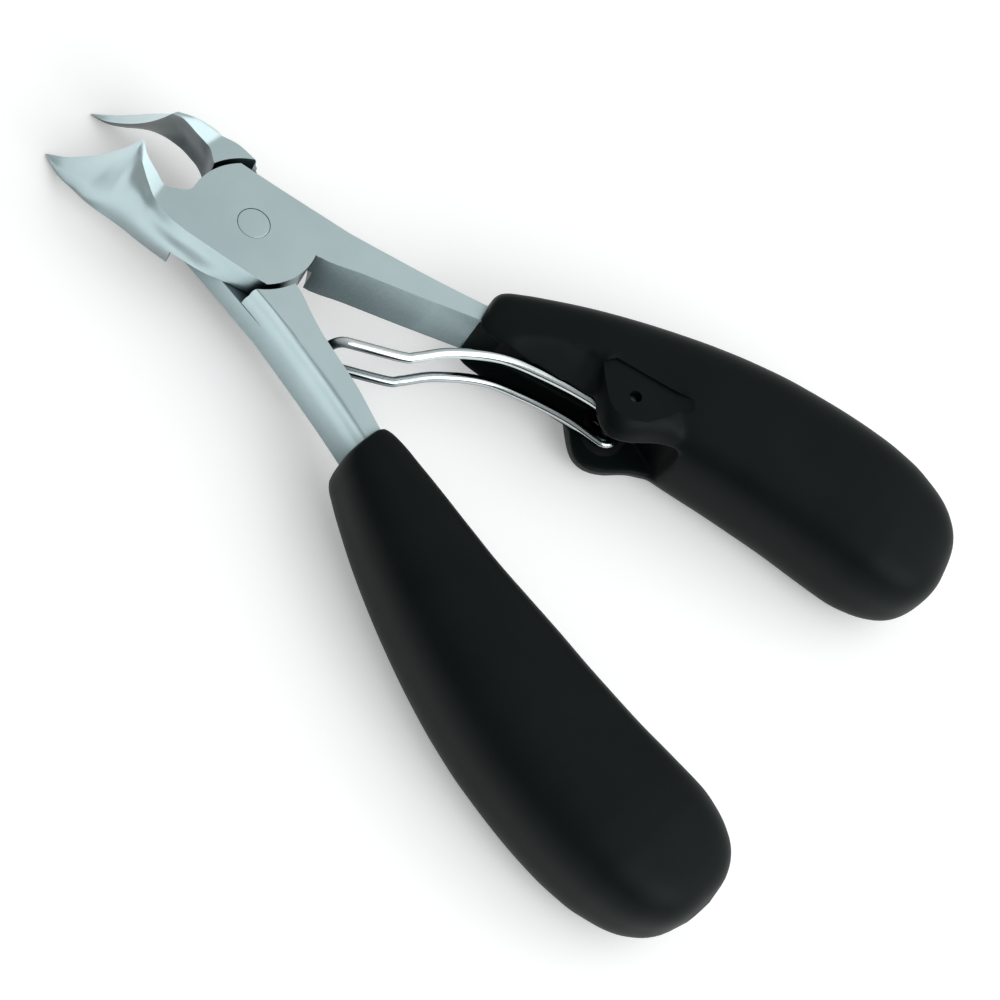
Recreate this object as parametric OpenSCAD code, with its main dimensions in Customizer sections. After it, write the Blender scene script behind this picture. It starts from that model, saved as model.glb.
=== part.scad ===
// Toenail nipper: two lap-jointed steel arms, soft grips and a wire return spring.
// Each arm is drawn closed, with the rivet on the Z axis, the cutting edges on the plane y = 0 and
// the handles along +X. placed() then opens it and moves it to the shared frame.

/* [Joint] */
// Half of the angle between the two arms at rest
half_open = 9.4; // [7:0.2:9.4]
// Half of the steel's thickness
steel_z = 4.2; // [4:0.1:4.4]
// Radius of the round joint halves
joint_r = 9.4; // [9:0.1:9.6]
// Radius of the pocket that the other arm's joint half turns in
pocket_r = 10.2; // [9.9:0.1:10.3]
// Half of the width across a joint half's two flats
joint_y = 7.2; // [7:0.1:7.2]
// Gap between the two joint halves
lap_gap = 0.1; // [0.06:0.02:0.2]
// Radius of the rivet
rivet_r = 2.3; // [2:0.1:3]
// Running clearance on the radius of the rivet and of the spring pin
running_fit = 0.05; // [0.02:0.01:0.08]
// Distance from the cutting plane to each cutting edge when closed
edge_gap = 0.05; // [0.03:0.01:0.1]

/* [Grips] */
// Height of the flat underside below the middle of the steel
rest_z = 9.4; // [9.4:0.05:9.5]
// How square a grip's cross-section is: 2 is an ellipse
grip_power = 3; // [2.6:0.1:3.4]

/* [Spring] */
// Radius of the spring wire
wire_r = 0.75; // [0.6:0.05:0.8]
// Distance of each spring leg from the middle plane
leg_z = 3.5; // [3.2:0.1:3.5]
// Half of the slot that the spring works in
slot_z = 4.4; // [4.3:0.1:4.6]
// Radius of the spring pin
pin_r = 0.9; // [0.8:0.1:1]

/* [Hidden] */
$fn = 64;
ring_points = 40;
lap_z = lap_gap / 2;
steel = [0.66, 0.72, 0.73];
bright_steel = [0.78, 0.82, 0.83];
soft_black = [0.07, 0.09, 0.09];
hard_black = [0.14, 0.15, 0.16];

// Middle of the object's length at rest, seen from the rivet
middle_x = 37.65;
// Place of the spring pin
pin_at = [56.5, 8.2];
// Radius of the spring's eyes, to the middle of the wire
eye_r = pin_r + running_fit + wire_r;
// Half of the flat cheeks that hold the pin, and of the stiff ears inside them
cheek_z = 8.1;
ear_z = 6.8;
core_z = 5.3;
tang_z = 2.6;

// Jaw sections: distance ahead of the rivet, then the points of the section as
// [distance from the cutting plane, height], from the cutting edge over the outer side and back
JAW = [
    [29.6, [[0.04, -9.06], [0.12, -9.02], [0.2, -9.06], [0.24, -9.15], [0.2, -9.24],
            [0.12, -9.28], [0.04, -9.24], [0.0, -9.15]]],
    [27.2, [[0, -7.4], [1.2, -7.3], [2.0, -7.6], [2.2, -8.2], [1.7, -9.0], [1.2, -9.1],
            [0.7, -8.7], [0.2, -8.0]]],
    [24.9, [[0, -4.9], [1.8, -4.8], [3.2, -5.3], [3.9, -6.6], [3.2, -7.8], [2.3, -7.9],
            [1.5, -7.2], [0.6, -6.0]]],
    [23.0, [[0, -2.4], [2.2, -2.3], [4.2, -3.2], [5.0, -4.8], [4.6, -6.3], [3.4, -6.6],
            [2.3, -5.6], [0.9, -3.9]]],
    [21.1, [[0, 0.6], [2.4, 0.5], [4.8, -1.2], [6.0, -3.6], [5.6, -5.4], [4.3, -5.9],
            [3.2, -4.2], [1.3, -1.3]]],
    [19.6, [[0, 3.5], [2.0, 3.2], [4.6, 0.6], [6.2, -2.4], [6.1, -4.9], [4.7, -5.5],
            [3.8, -3.2], [1.7, 0.8]]],
    [18.2, [[0, 6.8], [1.4, 6.2], [4.2, 2.6], [6.2, -1.4], [6.3, -4.7], [4.9, -5.2],
            [4.2, -2.2], [2.0, 2.8]]],
    [16.9, [[1.3, 6.1], [2.6, 5.9], [5.0, 3.2], [6.5, -0.8], [6.4, -4.6], [5.0, -5.0],
            [4.5, -1.6], [2.6, 2.8]]],
    [14.6, [[2.1, 5.0], [4.3, 4.9], [5.9, 3.2], [7.0, -0.6], [6.6, -4.5], [4.9, -4.8],
            [4.4, -1.6], [3.0, 2.4]]],
    [12.6, [[2.7, 4.2], [5.5, 4.2], [6.6, 2.6], [7.6, -0.4], [7.0, -4.3], [4.3, -4.4],
            [4.0, -1.4], [3.2, 1.8]]],
    [10.2, [[1.6, 4.2], [6.6, 4.2], [7.4, 2.6], [8.3, 0.0], [7.3, -4.2], [2.8, -4.2],
            [2.4, -1.0], [1.9, 1.8]]],
    [7.0, [[0.4, 4.2], [7.0, 4.2], [7.9, 2.6], [8.6, 0.0], [7.5, -4.2], [0.4, -4.2],
            [0.1, -1.4], [0.1, 1.6]]]
];

// Shank sections: x, inner side, outer side at the top, outer side at the bottom
SHANK = [
    [5, 1.2, 7.2, 6.4],
    [10, 1.3, 7.3, 6.5],
    [15.7, 2.8, 8.0, 6.6],
    [24, 4.9, 9.6, 7.4],
    [33, 7.3, 11.2, 8.8],
    [35, 7.8, 11.5, 9.1]
];

// Grip sections: x, middle, half width, half height
GRIP = [
    [33.0, 9.2, 3.5, 5.0],
    [33.4, 9.35, 4.2, 5.6],
    [36, 10.0, 5.3, 6.25],
    [40, 11.1, 6.2, 6.8],
    [45, 12.4, 7.1, 7.5],
    [51, 13.8, 8.0, 8.1],
    [57, 15.0, 8.8, 8.6],
    [63, 15.9, 9.6, 9.1],
    [69, 16.6, 10.3, 9.4],
    [76, 17.2, 10.8, 9.6],
    [84, 17.4, 11.2, 9.6],
    [91, 17.1, 11.4, 9.6],
    [96, 16.6, 11.3, 9.3],
    [100, 16.2, 10.6, 8.6],
    [103, 16.0, 9.5, 7.8],
    [105.5, 15.8, 7.7, 6.6],
    [107.3, 15.8, 5.1, 4.6],
    [108.2, 15.8, 2.0, 1.8]
];

// Slanted sides of the neck above and below the slot: x, side at the slot, side at the top
NECK = [
    [31, 4.9, 5.0],
    [34, 5.0, 5.9],
    [37, 5.2, 7.6],
    [40, 5.4, 8.9],
    [44, 5.5, 9.9],
    [48, 5.6, 10.6],
    [50.4, 5.8, 10.2]
];

// Outline of the cheeks that carry the pin, from the neck round to the grip's inner side
LOBE = [[50.2, 12.5], [50.2, 11], [50.5, 9.4], [51.2, 7.9], [52.2, 6.1], [53.4, 4.2], [54.6, 2.9],
    [56, 2.35], [57.6, 2.5], [59.4, 3.4], [61.2, 4.7], [63.2, 6], [66, 7.1], [66, 12.5]];

// Plans of the steel tang inside a grip and of the stiff core around it
TANG = [[33, 7.8], [44, 11], [57, 14.6], [82, 16.6], [82, 19.6], [57, 18.2], [44, 14.6], [33, 11.2]];
CORE = [[36, 8.6], [44, 10.3], [50, 12], [57, 13.6], [84, 14.8], [84, 21.4], [57, 20.2], [44, 16.2], [36, 13.2]];

// Plan of a spring leg in the right arm's closed frame, from its eye to the bend
LEG = [
    [51, 6.7],
    [44, 5.8],
    [38, 4.2],
    [32, 0.4],
    [28.4, -3.2],
    [26.6, -4.6],
    [19.4, -7.5]
];
// Where each eye starts and where the leg leaves it, as angles around the pin
eye_start = 169;
eye_end = -86;
// How far the bend that joins the two legs reaches past them
bend_reach = 2.2;

// Move a piece of one arm from its closed place to the shared frame: side 1 is the right arm
module placed(side) {
    translate([-middle_x, 0, rest_z]) rotate([0, 0, side * half_open]) children();
}

// Solid through a row of sections with equal numbers of points, which run anticlockwise as seen
// from the last section
module loft(rings) {
    n = len(rings[0]);
    last = len(rings) - 1;
    sides = [for (i = [0:last - 1], j = [0:n - 1]) let (k = (j + 1) % n)
        each [[i * n + j, (i + 1) * n + k, i * n + k], [i * n + j, (i + 1) * n + j, (i + 1) * n + k]]];
    start_cap = [for (j = [0:n - 1]) j];
    end_cap = [for (j = [n - 1:-1:0]) last * n + j];
    polyhedron([for (ring = rings) each ring], concat(sides, [start_cap, end_cap]));
}

// Jaw of the right arm: its cutting edge faces +Y
module jaw() {
    loft([for (row = JAW) [for (p = row[1]) [-row[0], -p[0] - edge_gap, p[1]]]]);
}

// Flared side of the joint half, between the jaw and the round end
module flank() {
    flare = [[-7.2, 8.6], [-4, 8.8], [0, 8.8], [3, 8.3], [5.5, 7.2]];
    loft([for (f = flare) [[f[0], -6, steel_z], [f[0], -joint_y + 0.1, steel_z],
        [f[0], -f[1], lap_z], [f[0], -6, lap_z]]]);
}

module joint_outline() {
    intersection() {
        circle(r = joint_r);
        square([3 * joint_r, 2 * joint_y], center = true);
    }
    polygon([[0, 0], [-9.2, -0.2], [-9.7, -1.2], [-10.3, -1.7], [-10.3, -6.6], [-7, -7.1], [0, -joint_y]]);
    polygon([[0, 1.2], [9.6, 1.2], [12, 1.8], [12, 7.4], [0, joint_y]]);
}

module shank() {
    loft([for (s = SHANK) [[s[0], s[1], steel_z], [s[0], s[1], -steel_z], [s[0], s[3], -steel_z],
        [s[0], s[2] + 0.1, -steel_z / 3], [s[0], s[2], steel_z]]]);
}

// Steel of one arm without its jaw: joint half above the middle plane, shank on the +Y side
module arm_body() {
    translate([0, 0, lap_z]) linear_extrude(steel_z - lap_z) joint_outline();
    flank();
    shank();
    translate([0, 0, -tang_z]) linear_extrude(2 * tang_z) polygon(TANG);
}

// Room that the other arm's joint half and the rivet take
module joint_cuts() {
    translate([0, 0, lap_z - 2 * steel_z]) cylinder(r = pocket_r, h = 2 * steel_z);
    cylinder(r = rivet_r + running_fit, h = 4 * steel_z, center = true);
}

module top_arm() {
    color(steel) placed(1) difference() {
        union() {
            arm_body();
            jaw();
        }
        joint_cuts();
    }
}

module bottom_arm() {
    color(steel) placed(-1) difference() {
        union() {
            rotate([180, 0, 0]) arm_body();
            mirror([0, 1, 0]) jaw();
        }
        rotate([180, 0, 0]) joint_cuts();
    }
}

module pivot_rivet() {
    color(bright_steel) placed(1) cylinder(r = rivet_r, h = 2 * steel_z, center = true);
}

function unit(v) = v / norm(v);

// Point at t on the smooth curve through points i to i + 1
function smooth(points, i, t) =
    let (last = len(points) - 1, a = points[max(i - 1, 0)], b = points[i],
         c = points[i + 1], d = points[min(i + 2, last)])
    b + t * (c - a) / 2 + t * t * (a - 2.5 * b + 2 * c - d / 2) + t * t * t * (b - c + (d - a) / 3) * 1.5;

// Plan of one side of the spring: its eye, then its leg
eye_plan = [for (a = [eye_start:-12.5:eye_end]) pin_at + eye_r * [cos(a), sin(a)]];
leg_plan = concat([pin_at + eye_r * [cos(eye_end), sin(eye_end)]], LEG);
side_plan = concat(eye_plan, [for (i = [0:len(leg_plan) - 2], t = [0.25:0.25:1]) smooth(leg_plan, i, t)]);

// Ring of the wire's surface around a point of its path
function wire_ring(at, along, across) =
    [for (j = [0:11]) at + wire_r * (across * cos(30 * j) + cross(along, across) * sin(30 * j))];

module wire_spring() {
    last = len(side_plan) - 1;
    headings = [for (i = [0:last]) unit(side_plan[min(i + 1, last)] - side_plan[max(i - 1, 0)])];
    upper = [for (i = [0:last]) let (h = headings[i])
        wire_ring([each side_plan[i], leg_z], [each h, 0], [-h[1], h[0], 0])];
    lower = [for (i = [last:-1:0]) let (h = headings[i])
        wire_ring([each side_plan[i], -leg_z], [each -h, 0], [-h[1], h[0], 0])];
    h = headings[last];
    bend = [for (a = [15:15:165])
        let (reach = [bend_reach * cos(a), leg_z * sin(a)], along = reach / norm(reach))
        wire_ring([each side_plan[last] + h * bend_reach * sin(a), leg_z * cos(a)],
            [each h * along[0], -along[1]], [-h[1], h[0], 0])];
    color(bright_steel) placed(1) loft(concat(upper, bend, lower));
}

module spring_pin() {
    color(bright_steel) placed(1) translate([each pin_at, -ear_z]) cylinder(r = pin_r, h = 2 * ear_z);
}

// Full outer shape of a grip, cut flat underneath
module grip_shape() {
    difference() {
        loft([for (g = GRIP) [for (i = [0:ring_points - 1])
            let (a = i * 360 / ring_points, c = cos(a), s = sin(a),
                 k = pow(pow(abs(c), grip_power) + pow(abs(s), grip_power), -1 / grip_power))
            [g[0], g[1] + g[2] * k * c, g[3] * k * s]]]);
        translate([0, -50, -rest_z - 10]) cube([150, 100, 10]);
    }
}

// Plan of the slot between the two cheeks, which the spring swings in
module slot_plan() {
    translate(pin_at) circle(r = eye_r + wire_r + 0.5);
    polygon([[31, -2], [31, 6.3], [33.5, 7.4], [35.2, 8.1], [37, 8.8], [39, 9.4], [42, 9.8], [50, 10.6],
        [56, 11.2], [60, 10.6], [63, 9.3], [65.6, 7.6], [67.6, 5.4], [67.6, -2]]);
}

// Plan of the part cut away so that the spring can close against the shank
module recess_plan() {
    polygon([[30, -5], [30, 5], [44, 5.3], [49, 5.6], [53, 4.6], [53, -5]]);
}

module neck_slants() {
    for (side = [0, 180]) {
        mirror([0, 0, side / 180]) loft([for (n = NECK) [[n[0], -5, slot_z], [n[0], -5, 12],
            [n[0], n[2] + 4, 12], [n[0], n[2], 8], [n[0], n[1], slot_z]]]);
    }
}

// Cheek lobes around the pin, and what is cut from them and the grip to leave flat faces there
module cheek_lobes() {
    translate([0, 0, -cheek_z]) linear_extrude(2 * cheek_z) polygon(LOBE);
}

module cheek_flats() {
    for (side = [-1, 1]) {
        translate([50.5, -2, side * (cheek_z + 5) - 5]) rotate([0, 0, 3]) cube([12.5, 14.4, 10]);
    }
}

// Hole for the tang, and the stiff cores around it: the right one has ears that hold the pin
module tang_hole() {
    translate([0, 0, -tang_z]) linear_extrude(2 * tang_z) polygon(TANG);
}

module left_core_block() {
    translate([0, 0, -core_z]) linear_extrude(2 * core_z) polygon(CORE);
}

module right_core_block() {
    left_core_block();
    translate([0, 0, -ear_z]) linear_extrude(2 * ear_z) {
        translate(pin_at) circle(r = 3.2);
        polygon([[53.5, 8], [59.5, 8], [62, 15], [52, 14]]);
    }
}

module slot() {
    translate([0, 0, -slot_z]) linear_extrude(2 * slot_z) slot_plan();
}

module pin_hole() {
    translate([each pin_at, -10]) cylinder(r = pin_r, h = 20);
}

module right_grip() {
    color(soft_black) placed(1) difference() {
        union() {
            difference() {
                grip_shape();
                translate([0, 0, -20]) linear_extrude(40) recess_plan();
                neck_slants();
            }
            cheek_lobes();
        }
        cheek_flats();
        slot();
        shank();
        right_core_block();
        tang_hole();
        pin_hole();
    }
}

module left_grip() {
    color(soft_black) placed(-1) difference() {
        mirror([0, 1, 0]) grip_shape();
        rotate([180, 0, 0]) {
            shank();
            left_core_block();
            tang_hole();
        }
    }
}

module right_grip_core() {
    color(hard_black) placed(1) difference() {
        right_core_block();
        slot();
        tang_hole();
        pin_hole();
    }
}

module left_grip_core() {
    color(hard_black) placed(-1) rotate([180, 0, 0]) difference() {
        left_core_block();
        tang_hole();
    }
}

top_arm();
bottom_arm();
pivot_rivet();
wire_spring();
spring_pin();
right_grip();
left_grip();
right_grip_core();
left_grip_core();
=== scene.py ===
"""Toenail nipper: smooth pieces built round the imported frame, with materials, light and camera.

Every piece is made in millimetres in its arm's closed frame, with the rivet on the Z axis, the
cutting plane at y = 0 and the handle along +X. placed() then opens it and moves it to its place.
"""

import math

import bmesh
import bpy
import numpy as np
from mathutils import Matrix, Vector


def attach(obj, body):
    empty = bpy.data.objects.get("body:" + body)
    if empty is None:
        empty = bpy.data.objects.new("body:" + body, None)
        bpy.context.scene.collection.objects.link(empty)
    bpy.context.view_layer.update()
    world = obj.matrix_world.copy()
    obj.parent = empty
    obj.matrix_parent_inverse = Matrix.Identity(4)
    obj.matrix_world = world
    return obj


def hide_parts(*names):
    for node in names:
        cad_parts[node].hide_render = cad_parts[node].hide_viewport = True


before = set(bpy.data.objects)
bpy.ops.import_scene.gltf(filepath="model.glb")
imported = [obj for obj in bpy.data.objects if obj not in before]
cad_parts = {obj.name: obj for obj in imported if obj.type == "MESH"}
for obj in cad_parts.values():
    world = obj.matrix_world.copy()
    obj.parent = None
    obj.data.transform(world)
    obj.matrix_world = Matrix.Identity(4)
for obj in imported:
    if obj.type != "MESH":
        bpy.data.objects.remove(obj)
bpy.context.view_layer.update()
scene = bpy.context.scene

# ------------------------------------------------------------------ sizes, in millimetres
MM = 0.001
# Half the angle between the handles at rest, in degrees, and where the rivet's middle goes
HALF_OPEN = 9.4
MIDDLE_X = 37.65
REST_Z = 9.4
# Lap joint: half thickness, half the play between the halves, plate, pocket, rivet and its play
STEEL_Z = 4.2
LAP_Z = 0.05
JOINT_R = 9.4
POCKET_R = 10.2
JOINT_Y = 7.2
RIVET_R = 2.3
RIVET_FIT = 0.05
# Half the gap left between the closed cutting edges
EDGE_GAP = 0.05
# Spring pin, and half heights of the core's ears, the cores, the cheeks, the tang and the slot
PIN_AT = (56.5, 8.2)
PIN_R = 0.9
EAR_Z = 6.8
CORE_Z = 5.3
CHEEK_Z = 8.1
TANG_Z = 2.6
SLOT_Z = 4.4
# Spring wire, half the distance between its legs, its end bend and its eyes on the pin
WIRE_R = 0.75
LEG_Z = 3.5
BEND_REACH = 2.2
EYE_R = PIN_R + 0.05 + WIRE_R
EYE_START, EYE_END = 169.0, -86.0

# Jaw sections. Distance ahead of the rivet, then (distance from the cutting plane, height) of
# eight points: the cutting edge, three on the outer side, two along the underside and two on the
# hollow inner side
JAW = [
    (29.6, [(0.04, -9.06), (0.12, -9.02), (0.2, -9.06), (0.24, -9.15), (0.2, -9.24),
            (0.12, -9.28), (0.04, -9.24), (0.0, -9.15)]),
    (27.2, [(0, -7.4), (1.2, -7.3), (2.0, -7.6), (2.2, -8.2), (1.7, -9.0), (1.2, -9.1),
            (0.7, -8.7), (0.2, -8.0)]),
    (24.9, [(0, -4.9), (1.8, -4.8), (3.2, -5.3), (3.9, -6.6), (3.2, -7.8), (2.3, -7.9),
            (1.5, -7.2), (0.6, -6.0)]),
    (23.0, [(0, -2.4), (2.2, -2.3), (4.2, -3.2), (5.0, -4.8), (4.6, -6.3), (3.4, -6.6),
            (2.3, -5.6), (0.9, -3.9)]),
    (21.1, [(0, 0.6), (2.4, 0.5), (4.8, -1.2), (6.0, -3.6), (5.6, -5.4), (4.3, -5.9),
            (3.2, -4.2), (1.3, -1.3)]),
    (19.6, [(0, 3.5), (2.0, 3.2), (4.6, 0.6), (6.2, -2.4), (6.1, -4.9), (4.7, -5.5),
            (3.8, -3.2), (1.7, 0.8)]),
    (18.2, [(0, 6.8), (1.4, 6.2), (4.2, 2.6), (6.2, -1.4), (6.3, -4.7), (4.9, -5.2),
            (4.2, -2.2), (2.0, 2.8)]),
    (16.9, [(1.3, 6.1), (2.6, 5.9), (5.0, 3.2), (6.5, -0.8), (6.4, -4.6), (5.0, -5.0),
            (4.5, -1.6), (2.6, 2.8)]),
    (14.6, [(2.1, 5.0), (4.3, 4.9), (5.9, 3.2), (7.0, -0.6), (6.6, -4.5), (4.9, -4.8),
            (4.4, -1.6), (3.0, 2.4)]),
    (12.6, [(2.7, 4.2), (5.5, 4.2), (6.6, 2.6), (7.6, -0.4), (7.0, -4.3), (4.3, -4.4),
            (4.0, -1.4), (3.2, 1.8)]),
    (10.2, [(1.6, 4.2), (6.6, 4.2), (7.4, 2.6), (8.3, 0.0), (7.3, -4.2), (2.8, -4.2),
            (2.4, -1.0), (1.9, 1.8)]),
    (7.0, [(0.4, 4.2), (7.0, 4.2), (7.6, 2.4), (8.6, 0.0), (7.5, -4.2), (0.4, -4.2),
           (0.1, -1.4), (0.1, 1.6)]),
]

# Distances ahead of the rivet: the jaws' peak, and where the spacing of sections changes
PEAK = 18.2
JAW_HEEL, JAW_WAIST, JAW_BEND, JAW_TIP = 7, 12.6, 27.2, 29.6

# Cove along the joint half's outer side: distance ahead of the rivet, then distances from the
# cutting plane of its ridge, waist, foot and lower hem
COVE = [(4.0, 7.1, 7.45, 8.5, 8.7), (1.6, 7.15, 7.45, 8.3, 8.5), (0.0, 7.2, 7.45, 7.95, 8.1),
        (-2.5, 7.2, 7.4, 7.6, 7.65), (-5.6, 7.2, 7.2, 7.2, 7.2)]

# Shank sections: x, inner side, outer side of one face and of the other, which has the shoulder
SHANK_ROOT, SHANK_KNEE, SHANK_END = 5, 15.7, 33.6
SHANK = [(5, 1.2, 7.2, 6.4), (10, 1.3, 7.3, 6.5), (15.7, 2.8, 7.8, 6.7), (24, 4.9, 8.7, 7.3),
         (33, 7.3, 10.0, 8.8), (35, 7.8, 10.4, 9.1)]
# Rolled shoulder of a shank's side: share of the way out, depth below the middle
SHOULDER = [(0, 4.2), (0.2, 4.08), (0.36, 3.8), (0.48, 3.4), (0.56, 2.9), (0.6, 2.3), (0.66, 1.95),
            (0.8, 1.6), (0.93, 0.9), (1.0, 0.0)]
# The left shank's inner side leans by this much, fully so from the second x on
LEFT_DRAFT = 0.9
LEAN_FROM, LEAN_FULL = 18, 27

# Grip sections: x, middle, half width, half height
GRIP = [(33.0, 9.2, 3.5, 5.0), (33.4, 9.35, 4.2, 5.6), (36, 10.0, 5.3, 6.25), (40, 11.1, 6.2, 6.8),
        (45, 12.4, 7.1, 7.5), (51, 13.8, 8.0, 8.1), (57, 15.0, 8.8, 8.6), (63, 15.9, 9.6, 9.1),
        (69, 16.6, 10.3, 9.4), (76, 17.2, 10.8, 9.6), (84, 17.4, 11.2, 9.6), (91, 17.1, 11.4, 9.6),
        (96, 16.6, 11.3, 9.3), (100, 16.2, 10.6, 8.6), (103, 16.0, 9.5, 7.8),
        (105.5, 15.8, 7.7, 6.6), (107.3, 15.8, 5.1, 4.6), (108.2, 15.8, 2.0, 1.8)]
GRIP_POWER = 3.0

# Plans of the tang, the stiff core, a leg of the spring, and the slot that it swings in, which
# keeps this much room round the spring's eyes
TANG = [(33, 7.8), (44, 11), (57, 14.6), (82, 16.6), (82, 19.6), (57, 18.2), (44, 14.6), (33, 11.2)]
CORE = [(36, 8.6), (44, 10.3), (50, 12), (57, 13.6), (84, 14.8), (84, 21.4), (57, 20.2), (44, 16.2),
        (36, 13.2)]
LEG = [(51, 6.7), (44, 5.8), (38, 4.2), (32, 0.4), (28.4, -3.2), (26.6, -4.6), (19.4, -7.5)]
SLOT = [(31, -2), (31, 6.3), (33.5, 7.4), (35.2, 8.1), (37, 8.8), (39, 9.4), (42, 9.8), (50, 10.6),
        (56, 11.2), (60, 10.6), (63, 9.3), (65.6, 7.6), (67.6, 5.4), (67.6, -2)]
SLOT_ROOM = 0.5

# Plan of the part cut away so that the spring can close against the shank
RECESS = [(30, -5), (30, 5), (44, 5.3), (49, 5.6), (53, 4.6), (53, -5)]
# Slanted sides of the neck above and below the slot: x, side at the slot, side at the top
NECK = [(31, 4.9, 5.0), (34, 5.0, 5.9), (37, 5.2, 7.6), (40, 5.4, 8.9), (44, 5.5, 9.9),
        (48, 5.6, 10.6), (50.4, 5.8, 10.2), (52.2, 5.5, 7.6), (53.6, 4.4, 5.0)]
# Outline of the cheeks that carry the pin, from the neck round to the grip's inner side
LOBE = [(50.2, 11), (50.5, 9.4), (51.2, 7.9), (52.2, 6.1), (53.4, 4.2), (54.6, 2.9), (56, 2.35),
        (57.6, 2.5), (59.4, 3.4), (61.2, 4.7), (63.2, 6.0), (66, 7.1)]
# How far the cheeks' inner side stands back at each height
LOBE_BACK = [(-8.3, 2.4), (-7.4, 1.2), (-6.4, 0.5), (-4.7, 0), (4.7, 0), (6.4, 0.5), (7.4, 1.2),
             (8.3, 2.4)]
# The cheeks' bulge ends inside the grip, at this y and x
LOBE_TOP, LOBE_END = 12.5, 68

# Mesh size and smoothing rounds of the soft grip's rounded edges
VOXEL = 0.3
RELAX_ROUNDS = 14


# ------------------------------------------------------------------ mesh helpers
def new_object(name, verts, faces):
    mesh = bpy.data.meshes.new(name)
    mesh.from_pydata([tuple(v) for v in np.asarray(verts, float)], [], faces)
    b = bmesh.new()
    b.from_mesh(mesh)
    bmesh.ops.recalc_face_normals(b, faces=b.faces)
    b.to_mesh(mesh)
    b.free()
    obj = bpy.data.objects.new(name, mesh)
    scene.collection.objects.link(obj)
    return obj


def loft(name, rings):
    """Closed solid through a row of rings with equal numbers of points."""
    rings = np.asarray(rings, float)
    count, n = rings.shape[:2]
    faces = [(i * n + j, i * n + (j + 1) % n, (i + 1) * n + (j + 1) % n, (i + 1) * n + j)
             for i in range(count - 1) for j in range(n)]
    faces.append(tuple(range(n - 1, -1, -1)))
    faces.append(tuple((count - 1) * n + j for j in range(n)))
    return new_object(name, rings.reshape(-1, 3), faces)


def slab(name, outline, low, high):
    """Solid with a plan outline, from one height to another."""
    plan = [np.column_stack([np.asarray(outline, float), np.full(len(outline), z)])
            for z in (low, high)]
    return loft(name, plan)


def turned(name, profile, at=(0, 0), steps=128):
    """Solid of revolution round a vertical axis, from (radius, height) points bottom to top."""
    angles = np.arange(steps) * 2 * math.pi / steps
    return loft(name, [[(at[0] + r * math.cos(a), at[1] + r * math.sin(a), z) for a in angles]
                       for r, z in profile])


def settle(obj):
    """Replaces an object's mesh with what its modifiers make of it."""
    bpy.context.view_layer.update()
    made = obj.evaluated_get(bpy.context.evaluated_depsgraph_get())
    mesh = bpy.data.meshes.new_from_object(made)
    obj.modifiers.clear()
    old, obj.data = obj.data, mesh
    bpy.data.meshes.remove(old)
    return obj


def combine(obj, operation, *others):
    for other in others:
        modifier = obj.modifiers.new("Combine", "BOOLEAN")
        modifier.operation = operation
        modifier.solver = "EXACT"
        modifier.object = other
        settle(obj)
        bpy.data.objects.remove(other)
    return obj


def cut(obj, *others):
    return combine(obj, "DIFFERENCE", *others)


def join(obj, *others):
    return combine(obj, "UNION", *others)


def weld(obj):
    """Merges the points that a cut left doubled."""
    b = bmesh.new()
    b.from_mesh(obj.data)
    bmesh.ops.remove_doubles(b, verts=b.verts, dist=1e-4)
    bmesh.ops.dissolve_degenerate(b, edges=b.edges, dist=1e-4)
    b.to_mesh(obj.data)
    b.free()
    return obj


def bevel(obj, width, angle=32, segments=3):
    modifier = obj.modifiers.new("Bevel", "BEVEL")
    modifier.width = width
    modifier.segments = segments
    modifier.limit_method = "ANGLE"
    modifier.angle_limit = math.radians(angle)
    return settle(obj)


def moved(obj, matrix):
    obj.data.transform(matrix)
    if matrix.determinant() < 0:
        obj.data.flip_normals()
    return obj


def turned_over(obj):
    return moved(obj, Matrix.Rotation(math.pi, 4, "X"))


def mirrored(obj):
    return moved(obj, Matrix.Scale(-1, 4, Vector((0, 1, 0))))


def placed(obj, side):
    """From an arm's closed frame to the row frame, in metres: side 1 is the right arm."""
    turn = Matrix.Rotation(math.radians(side * HALF_OPEN), 4, "Z")
    shift = Matrix.Translation((-MIDDLE_X, 0, REST_Z))
    return moved(obj, Matrix.Scale(MM, 4) @ shift @ turn)


def smooth_by_angle(obj, degrees):
    obj.data.polygons.foreach_set("use_smooth", [True] * len(obj.data.polygons))
    obj.data.set_sharp_from_angle(angle=math.radians(degrees))
    modifier = obj.modifiers.new("Normals", "WEIGHTED_NORMAL")
    modifier.keep_sharp = True
    return settle(obj)


def through(xs, ys, at):
    """Smooth curve through table rows that never overshoots them (monotone cubic)."""
    xs, ys, at = (np.asarray(v, float) for v in (xs, ys, at))
    ys = ys.reshape(len(xs), -1)
    h = np.diff(xs)[:, None]
    slope = np.diff(ys, axis=0) / h
    tangent = np.zeros_like(ys)
    tangent[0], tangent[-1] = slope[0], slope[-1]
    if len(xs) > 2:
        before, after = slope[:-1], slope[1:]
        w1, w2 = 2 * h[1:] + h[:-1], h[1:] + 2 * h[:-1]
        same = before * after > 0
        safe_before, safe_after = np.where(same, before, 1), np.where(same, after, 1)
        tangent[1:-1] = np.where(same, (w1 + w2) / (w1 / safe_before + w2 / safe_after), 0)
    i = np.clip(np.searchsorted(xs, at, side="right") - 1, 0, len(xs) - 2)
    t = ((at - xs[i]) / h[i, 0])[:, None]
    return ((1 + 2 * t) * (1 - t) ** 2 * ys[i] + t * (1 - t) ** 2 * h[i] * tangent[i]
            + t * t * (3 - 2 * t) * ys[i + 1] + t * t * (t - 1) * h[i] * tangent[i + 1])


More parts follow.
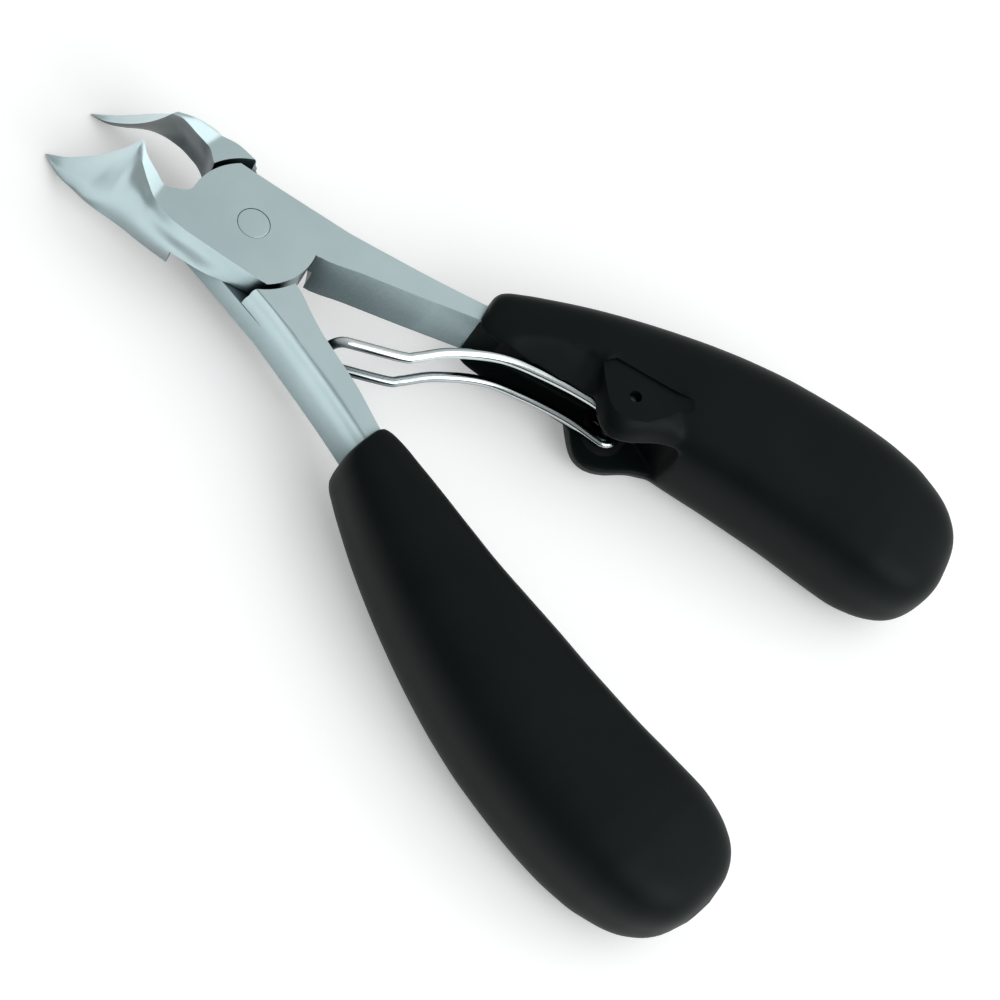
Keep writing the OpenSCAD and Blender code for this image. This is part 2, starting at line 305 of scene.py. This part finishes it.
def curve(points, steps):
    """Catmull-Rom curve through a row of points, with steps pieces between each two."""
    p = np.asarray(points, float)
    p = np.vstack([2 * p[0] - p[1], p, 2 * p[-1] - p[-2]])
    out = []
    for i in range(1, len(p) - 2):
        a, b, c, d = p[i - 1], p[i], p[i + 1], p[i + 2]
        for t in np.arange(steps) / steps:
            out.append(b + t * (c - a) / 2 + t * t * (a - 2.5 * b + 2 * c - d / 2)
                       + t ** 3 * (1.5 * (b - c) + (d - a) / 2))
    return np.array(out + [p[-2]])


# ------------------------------------------------------------------ steel arms
def arc(radius, start, end, steps):
    angles = np.radians(np.linspace(start, end, steps))
    return [(radius * math.cos(a), radius * math.sin(a)) for a in angles]


def joint_outline():
    """Plan of a joint half: two flats, round ends, a heel behind the jaw and the shank's root."""
    flat = math.degrees(math.asin(JOINT_Y / JOINT_R))
    front = [(-9.7, -1.2), (-10.3, -1.7), (-10.3, -6.6), (-7, -7.1), (0, -JOINT_Y)]
    root = [(9.6, 1.2), (12, 1.8), (12, 7.4), (0, JOINT_Y)]
    heel = math.degrees(math.asin(1.2 / JOINT_R))
    return (arc(JOINT_R, 180 - flat, 183.4, 28) + front + arc(JOINT_R, -flat, heel, 32)
            + root)


def shank_solid(draft=0.0):
    """Shank on the +Y side. Its lower outer side has a rolled shoulder over a bulged wall."""
    table = np.array(SHANK, float)
    before, after = table[:3], table[2:]
    stations = [*np.linspace(SHANK_ROOT, SHANK_KNEE, 8),
                *np.linspace(SHANK_KNEE, SHANK_END, 16)[1:]]
    rings = []
    for x in stations:
        part = before if x < SHANK_KNEE else after
        inner, top, bottom = through(part[:, 0], part[:, 1:], [x])[0]
        lean = draft * float(np.clip((x - LEAN_FROM) / (LEAN_FULL - LEAN_FROM), 0, 1))
        ring = [(inner, STEEL_Z), (inner - lean, -STEEL_Z)]
        ring += [(bottom + (top - bottom) * share, -depth) for share, depth in SHOULDER]
        ring += [(top, 2.0), (top, STEEL_Z)]
        rings.append([(x, y, z) for y, z in ring])
    return loft("shank", rings)


def jaw_ring(points, ridge):
    """Section of a jaw: crisp at the cutting edge and the underside. Its second point is crisp
    too as ridge goes to 1."""
    p = np.array(points, float)
    outer = curve(p[:5], 6)
    straight = np.vstack([np.linspace(p[0], p[1], 6, endpoint=False), curve(p[1:5], 6)])
    outer = (1 - ridge) * outer + ridge * straight
    under = np.linspace(p[4], p[5], 5)[1:-1]
    inner = curve([p[5], p[6], p[7], p[0]], 6)[:-1]
    return np.vstack([outer, under, inner])


def jaw_solid(coved):
    """Jaw of the right arm, whose cutting edge faces +Y. Where the joint half is above, the jaw's
    outer side runs on along it as a cove."""
    rows = list(JAW)
    stations = []
    if coved:
        stations += list(np.arange(COVE[-1][0], JAW_HEEL, 0.6))
        for at, ridge, waist, foot, hem in COVE:
            rows.append((at, [(0.4, 4.2), (ridge, 4.2), (waist, 2.3), (foot, 0.3), (hem, -1.2),
                              (0.4, -1.2), (0.1, -0.6), (0.1, 1.6)]))
    r = np.array([row[0] for row in rows])[::-1]
    table = np.array([row[1] for row in rows], float)[::-1].reshape(len(rows), -1)
    peak = int(np.argmin(abs(r - PEAK)))
    stations += [*np.linspace(JAW_HEEL, JAW_WAIST, 13), *np.linspace(JAW_WAIST, PEAK, 19)[1:],
                 *np.linspace(PEAK, JAW_BEND, 31)[1:], *np.linspace(JAW_BEND, JAW_TIP, 9)[1:]]
    rings = []
    for at in stations:
        part = slice(0, peak + 1) if at <= PEAK else slice(peak, None)
        points = through(r[part], table[part], [at])[0].reshape(8, 2)
        ridge = float(np.clip((20.5 - at) / 4.5, 0, 1))
        rings.append([(-at, -p[0] - EDGE_GAP, p[1]) for p in jaw_ring(points, ridge)])
    return loft("jaw", rings)


def flank_solid():
    """Cove along the joint half's free side, from just behind the jaw's heel."""
    heel = (7.2, 7.0, 7.6, 8.5, 8.6)
    rings = []
    for at, ridge, waist, foot, _ in [heel] + COVE:
        side = curve([(ridge, STEEL_Z), (waist, 2.3), (foot, 0.3)], 6)
        rings.append([(-at, -6, STEEL_Z)] + [(-at, -y, max(z, LAP_Z)) for y, z in side]
                     + [(-at, -foot, LAP_Z), (-at, -6, LAP_Z)])
    return loft("flank", rings)


def arm_body(draft=0.0):
    """Joint half, shank and tang of an arm, without its jaw."""
    plate = slab("plate", joint_outline(), LAP_Z, STEEL_Z)
    body = join(plate, shank_solid(draft), flank_solid())
    weld(body)
    bevel(body, 0.2)
    return join(body, slab("tang", TANG, -TANG_Z, TANG_Z))


def finish_arm(arm, lower):
    """Cuts the other joint half's pocket, with the room beside it, and the rivet's hole."""
    floor_z = LAP_Z - 12
    pocket = turned("pocket", [(POCKET_R, floor_z), (POCKET_R, LAP_Z)], steps=160)
    beside = [(-7.25, -5), (9, -5), (9, -13), (-7.25, -13)]
    join(pocket, slab("room", beside, floor_z, LAP_Z))
    if lower:
        turned_over(pocket)
    radius = RIVET_R + RIVET_FIT
    hole = turned("hole", [(radius, -6), (radius, 6)])
    cut(arm, pocket, hole)
    weld(arm)
    return smooth_by_angle(arm, 28)


def top_arm():
    arm = join(arm_body(), jaw_solid(coved=True))
    finish_arm(arm, lower=False)
    arm.name = "upper_arm"
    return placed(arm, 1)


def bottom_arm():
    arm = join(turned_over(arm_body(LEFT_DRAFT)), mirrored(jaw_solid(coved=False)))
    finish_arm(arm, lower=True)
    arm.name = "lower_arm"
    return placed(arm, -1)


def rivet():
    r, z = RIVET_R, STEEL_Z
    profile = [(0.02, -z), (r - 0.14, -z), (r - 0.04, -z + 0.04), (r, -z + 0.14), (r, z - 0.14),
               (r - 0.04, z - 0.04), (r - 0.14, z), (0.02, z)]
    piece = turned("joint_rivet", profile)
    return placed(smooth_by_angle(piece, 40), 1)


# ------------------------------------------------------------------ spring and pin
def tube(name, path, radius, steps=24):
    """Round wire along a path, with rounded ends."""
    path = np.asarray(path, float)
    heading = np.gradient(path, axis=0)
    heading /= np.linalg.norm(heading, axis=1)[:, None]
    angles = np.arange(steps) * 2 * math.pi / steps
    across = np.cross(heading[0], (0, 0, 1))
    rings = []
    for i, (at, along) in enumerate(zip(path, heading)):
        across = across - along * np.dot(across, along)
        across /= np.linalg.norm(across)
        other = np.cross(along, across)
        circle = np.outer(np.cos(angles), across) + np.outer(np.sin(angles), other)
        if i == 0:
            rings += [at + circle * radius * 0.72 - along * radius * 0.22]
            rings += [at + circle * radius * 0.93 - along * radius * 0.1]
        rings.append(at + circle * radius)
    rings.append(at + circle * radius * 0.93 + along * radius * 0.1)
    rings.append(at + circle * radius * 0.72 + along * radius * 0.22)
    return loft(name, rings)


def wire_spring():
    eye = [(PIN_AT[0] + EYE_R * math.cos(a), PIN_AT[1] + EYE_R * math.sin(a))
           for a in np.radians(np.arange(EYE_START, EYE_END, -6.25))]
    end = math.radians(EYE_END)
    start = (PIN_AT[0] + EYE_R * math.cos(end), PIN_AT[1] + EYE_R * math.sin(end))
    side = np.vstack([eye, curve([start] + LEG, 14)])
    heading = side[-1] - side[-2]
    heading /= np.linalg.norm(heading)
    upper = np.column_stack([side, np.full(len(side), LEG_Z)])
    bend = [(*(side[-1] + heading * BEND_REACH * math.sin(a)), LEG_Z * math.cos(a))
            for a in np.radians(np.arange(7.5, 180, 7.5))]
    lower = upper[::-1] * (1, 1, -1)
    spring = tube("return_spring", np.vstack([upper, bend, lower]), WIRE_R)
    return placed(smooth_by_angle(spring, 60), 1)


def spring_pin():
    r, z = PIN_R, EAR_Z
    profile = [(0.02, -z), (r - 0.25, -z), (r, -z + 0.25), (r, z - 0.25), (r - 0.25, z), (0.02, z)]
    pin = turned("cross_pin", profile, PIN_AT, 48)
    return placed(smooth_by_angle(pin, 40), 1)


# ------------------------------------------------------------------ soft grips
def grip_rings(sections, points):
    table = np.array(GRIP, float)
    body = np.linspace(33.4, 105.5, sections)
    nose = 105.5 + 2.7 * np.sin(np.linspace(0, math.pi / 2, 10))[1:]
    xs = np.concatenate([[33.0, 33.15], body, nose])
    rings = []
    angles = np.arange(points) * 2 * math.pi / points
    for x, row in zip(xs, through(table[:, 0], table[:, 1:], xs)):
        middle, wide, tall = row
        c, s = np.cos(angles), np.sin(angles)
        k = (abs(c) ** GRIP_POWER + abs(s) ** GRIP_POWER) ** (-1 / GRIP_POWER)
        z = tall * k * s
        above = z + REST_Z
        z = np.where(z < 0, (above + np.sqrt(above ** 2 + 0.02)) / 2 - REST_Z, z)
        rings.append(np.column_stack([np.full(points, x), middle + wide * k * c, z]))
    return rings


def core_solid(ears):
    block = slab("core", CORE, -CORE_Z, CORE_Z)
    if ears:
        join(block, turned("ear", [(3.2, -EAR_Z), (3.2, EAR_Z)], PIN_AT, 48),
             slab("web", [(53.5, 8), (59.5, 8), (62, 15), (52, 14)], -EAR_Z, EAR_Z))
    return block


def neck_cutter(side):
    """Room beside the neck, whose slanted wall rises from the slot to the top."""
    rings = [[(x, -5, side * SLOT_Z), (x, -5, side * 12), (x, top + 4, side * 12),
              (x, top + 0.6, side * 8), (x, top, side * 7), (x, (low + top) / 2 - 0.5, side * 5.4),
              (x, low, side * SLOT_Z)] for x, low, top in NECK]
    return loft("neck", rings)


def cheek_cutter(side, drop, grow):
    """Room over a cheek's flat face, which slopes with the grip's own top. It is larger by grow
    and deeper by drop."""
    rings = []
    for lift in (0, 3):
        plan = [(50.3 - grow, -4), (50.3 - grow, 10.4), (51.6, 11.9 + grow), (57, 12.1 + grow),
                (61 + 4 * lift, 12.4 + grow), (63 + 4 * lift, 11), (66 + 4 * lift, -4)]
        base = CHEEK_Z - 0.35 - drop + lift
        rings.append([(x, y, side * (base + (x - 51) * 0.05)) for x, y in plan])
    return loft("cheek", rings)


def lobes():
    """Both cheeks' bulge on the inner side, leaning back above and below the slot."""
    plan = np.vstack([curve(LOBE, 4), [(LOBE_END, LOBE_TOP), (50.6, LOBE_TOP)]])
    return loft("lobe", [[(x - back * max(0, x - 60) / 4, y + back * (LOBE_TOP - y) / 10, z)
                          for x, y in plan] for z, back in LOBE_BACK])


def soften(obj):
    """Even mesh with softly rounded edges."""
    remesh = obj.modifiers.new("Even", "REMESH")
    remesh.mode = "VOXEL"
    remesh.voxel_size = VOXEL
    settle(obj)
    relax = obj.modifiers.new("Relax", "SMOOTH")
    relax.factor = 0.5
    relax.iterations = RELAX_ROUNDS
    return settle(obj)


def right_grip():
    grip = loft("moulded_grip_right", grip_rings(110, 96))
    cut(grip, slab("recess", RECESS, -20, 20), neck_cutter(1), neck_cutter(-1))
    join(grip, lobes())
    cut(grip, cheek_cutter(1, -0.3, 0.5), cheek_cutter(-1, -0.3, 0.5))
    room = EYE_R + WIRE_R + SLOT_ROOM
    cut(grip, slab("slot", SLOT, -SLOT_Z, SLOT_Z),
        turned("slot_end", [(room, -SLOT_Z), (room, SLOT_Z)], PIN_AT))
    soften(grip)
    cut(grip, cheek_cutter(1, 0.05, 0), cheek_cutter(-1, 0.05, 0))
    cut(grip, shank_solid(), core_solid(True), slab("tang_hole", TANG, -TANG_Z, TANG_Z),
        turned("pin_hole", [(PIN_R, -10), (PIN_R, 10)], PIN_AT, 48))
    return placed(smooth_by_angle(grip, 50), 1)


def left_grip():
    grip = mirrored(loft("moulded_grip_left", grip_rings(150, 128)))
    tang_hole = slab("tang_hole", TANG, -TANG_Z, TANG_Z)
    for cutter in (shank_solid(LEFT_DRAFT), core_solid(False), tang_hole):
        cut(grip, turned_over(cutter))
    return placed(smooth_by_angle(grip, 50), -1)


# ------------------------------------------------------------------ materials
def material(name):
    mat = bpy.data.materials.new(name)
    mat.use_nodes = True
    nodes = mat.node_tree.nodes
    return mat, nodes, mat.node_tree.links, nodes["Principled BSDF"]


def ramp(nodes, stops):
    node = nodes.new("ShaderNodeValToRGB")
    elements = node.color_ramp.elements
    while len(elements) < len(stops):
        elements.new(0.5)
    for element, (at, colour) in zip(elements, stops):
        element.position = at
        element.color = colour if len(colour) == 4 else (*colour, 1)
    return node


def steel(name, tint, dark, rough, brush):
    """Satin steel: fine brushing along the handles, cloudy polish, and painted shade that darkens
    the colour towards black in crevices, gaps and faces close over the floor.
    """
    mat, nodes, links, shader = material(name)
    shader.inputs["Metallic"].default_value = 1.0
    coords = nodes.new("ShaderNodeTexCoord")

    def noise(scale, detail, squeeze):
        mapping = nodes.new("ShaderNodeMapping")
        mapping.inputs["Scale"].default_value = squeeze
        links.new(coords.outputs["Object"], mapping.inputs["Vector"])
        node = nodes.new("ShaderNodeTexNoise")
        node.inputs["Scale"].default_value = scale
        node.inputs["Detail"].default_value = detail
        links.new(mapping.outputs["Vector"], node.inputs["Vector"])
        return node

    clouds = noise(90, 4, (1, 1, 1))
    fine = noise(2400, 3, (0.12, 1, 1))
    colour = ramp(nodes, [(0.3, dark), (0.7, tint)])
    links.new(clouds.outputs["Fac"], colour.inputs["Fac"])
    # Painted shade: ambient occlusion within 18 mm multiplies the base colour, down to near black
    # in narrow gaps and on faces near the floor
    shade_occlusion = nodes.new("ShaderNodeAmbientOcclusion")
    shade_occlusion.inputs["Distance"].default_value = 0.018
    shade_occlusion.samples = 8
    painted_shade = ramp(nodes, [(0.1, (0.012, 0.014, 0.015)), (0.5, (0.26, 0.28, 0.29)),
                         (0.92, (1, 1, 1))])
    links.new(shade_occlusion.outputs["AO"], painted_shade.inputs["Fac"])
    mix = nodes.new("ShaderNodeMix")
    mix.data_type = "RGBA"
    mix.blend_type = "MULTIPLY"
    mix.inputs["Factor"].default_value = 1.0
    links.new(colour.outputs["Color"], mix.inputs["A"])
    links.new(painted_shade.outputs["Color"], mix.inputs["B"])
    links.new(mix.outputs["Result"], shader.inputs["Base Color"])
    spread = nodes.new("ShaderNodeMapRange")
    spread.inputs["To Min"].default_value = rough * 0.88
    spread.inputs["To Max"].default_value = rough * 1.12
    links.new(fine.outputs["Fac"], spread.inputs["Value"])
    links.new(spread.outputs["Result"], shader.inputs["Roughness"])
    bump = nodes.new("ShaderNodeBump")
    bump.inputs["Strength"].default_value = brush
    bump.inputs["Distance"].default_value = 0.00002
    links.new(fine.outputs["Fac"], bump.inputs["Height"])
    links.new(bump.outputs["Normal"], shader.inputs["Normal"])
    return mat


def rubber(name, low, high, rough):
    """Soft-touch moulding: very fine grain and slightly cloudy sheen."""
    mat, nodes, links, shader = material(name)
    coords = nodes.new("ShaderNodeTexCoord")
    grain = nodes.new("ShaderNodeTexNoise")
    grain.inputs["Scale"].default_value = 3500
    grain.inputs["Detail"].default_value = 2
    clouds = nodes.new("ShaderNodeTexNoise")
    clouds.inputs["Scale"].default_value = 120
    clouds.inputs["Detail"].default_value = 5
    for node in (grain, clouds):
        links.new(coords.outputs["Object"], node.inputs["Vector"])
    colour = ramp(nodes, [(0.3, low), (0.75, high)])
    links.new(clouds.outputs["Fac"], colour.inputs["Fac"])
    links.new(colour.outputs["Color"], shader.inputs["Base Color"])
    spread = nodes.new("ShaderNodeMapRange")
    spread.inputs["To Min"].default_value = rough - 0.06
    spread.inputs["To Max"].default_value = rough + 0.06
    links.new(clouds.outputs["Fac"], spread.inputs["Value"])
    links.new(spread.outputs["Result"], shader.inputs["Roughness"])
    shader.inputs["Specular IOR Level"].default_value = 0.1
    bump = nodes.new("ShaderNodeBump")
    bump.inputs["Strength"].default_value = 0.25
    bump.inputs["Distance"].default_value = 0.00003
    links.new(grain.outputs["Fac"], bump.inputs["Height"])
    links.new(bump.outputs["Normal"], shader.inputs["Normal"])
    return mat


arm_steel = steel("satin_steel", (0.60, 0.74, 0.76), (0.53, 0.67, 0.69), 0.33, 0.12)
rivet_steel = steel("rivet_steel", (0.60, 0.74, 0.76), (0.53, 0.67, 0.69), 0.32, 0.12)
wire_steel = steel("bright_wire", (0.80, 0.86, 0.86), (0.70, 0.78, 0.79), 0.14, 0.1)
soft_black = rubber("soft_black", (0.0018, 0.0045, 0.0043), (0.0035, 0.0065, 0.0062), 0.48)
hard_black = rubber("hard_black", (0.010, 0.011, 0.012), (0.016, 0.018, 0.019), 0.4)


def dress(obj, mat, body, slot, *nodes):
    obj.data.materials.clear()
    obj.data.materials.append(mat)
    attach(obj, body)
    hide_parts(*nodes)


dress(top_arm(), arm_steel, "right_half", "arm_steel", "top_arm")
dress(bottom_arm(), arm_steel, "left_half", "arm_steel", "bottom_arm")
dress(rivet(), rivet_steel, "right_half", "rivet_steel", "pivot_rivet")
dress(wire_spring(), wire_steel, "spring", "spring_wire", "wire_spring")
dress(spring_pin(), rivet_steel, "right_half", "rivet_steel", "spring_pin")
dress(right_grip(), soft_black, "right_half", "soft_grip", "right_grip")
dress(left_grip(), soft_black, "left_half", "soft_grip", "left_grip")
for node in ("right_grip_core", "left_grip_core"):
    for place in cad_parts[node].material_slots:
        place.material = hard_black


# ------------------------------------------------------------------ floor, light and camera
def floor():
    obj = new_object("floor", [(-3, -3, 0), (3, -3, 0), (3, 3, 0), (-3, 3, 0)], [(0, 1, 2, 3)])
    mat, nodes, links, shader = material("pale_floor")
    shader.inputs["Roughness"].default_value = 0.8
    speckle = nodes.new("ShaderNodeTexNoise")
    speckle.inputs["Scale"].default_value = 40
    shade = ramp(nodes, [(0.3, (0.86, 0.87, 0.87)), (0.7, (0.89, 0.9, 0.9))])
    links.new(speckle.outputs["Fac"], shade.inputs["Fac"])
    links.new(shade.outputs["Color"], shader.inputs["Base Color"])
    links.new(shade.outputs["Color"], shader.inputs["Emission Color"])
    shader.inputs["Emission Strength"].default_value = 0.3
    obj.data.materials.append(mat)


def area_light(name, at, target, size, power):
    light = bpy.data.lights.new(name, "AREA")
    light.shape = "RECTANGLE"
    light.size, light.size_y = size
    light.energy = power
    obj = bpy.data.objects.new(name, light)
    scene.collection.objects.link(obj)
    obj.location = at
    obj.rotation_euler = (Vector(target) - Vector(at)).to_track_quat("-Z", "Y").to_euler()


def studio():
    world = bpy.data.worlds.new("studio")
    scene.world = world
    world.use_nodes = True
    nodes, links = world.node_tree.nodes, world.node_tree.links
    coords = nodes.new("ShaderNodeTexCoord")
    towards = nodes.new("ShaderNodeVectorMath")
    towards.operation = "DOT_PRODUCT"
    towards.inputs[1].default_value = (0, 0.55, 0.83)
    links.new(coords.outputs["Generated"], towards.inputs[0])
    greys = ((0.0, 0.36), (0.35, 0.42), (0.75, 0.5), (1.0, 0.62))
    sky = ramp(nodes, [(at, (grey, grey, grey)) for at, grey in greys])
    links.new(towards.outputs["Value"], sky.inputs["Fac"])
    links.new(sky.outputs["Color"], nodes["Background"].inputs["Color"])
    nodes["Background"].inputs["Strength"].default_value = 1.0
    area_light("key", (0.9, 0.3, 0.95), (0, 0, 0), (1.8, 1.8), 10)
    area_light("fill", (0.9, -0.4, 0.7), (0, 0, 0), (0.8, 0.8), 6)
    scene.view_settings.view_transform = "Standard"


def camera():
    """Above the handles' near side, rolled so that the jaws point up and left."""
    data = bpy.data.cameras.new("camera")
    data.lens = 101.2
    data.sensor_width = 36
    data.clip_start = 0.01
    obj = bpy.data.objects.new("camera", data)
    scene.collection.objects.link(obj)
    right, up, back = (0.7553, 0.5493, 0.3574), (-0.6554, 0.6272, 0.4209), (0.0071, -0.5521, 0.8337)
    at = (0.01469, -0.21502, 0.32658)
    rows = [(right[i], up[i], back[i], at[i]) for i in range(3)]
    obj.matrix_world = Matrix(rows + [(0, 0, 0, 1)])
    scene.camera = obj


floor()
studio()
camera()
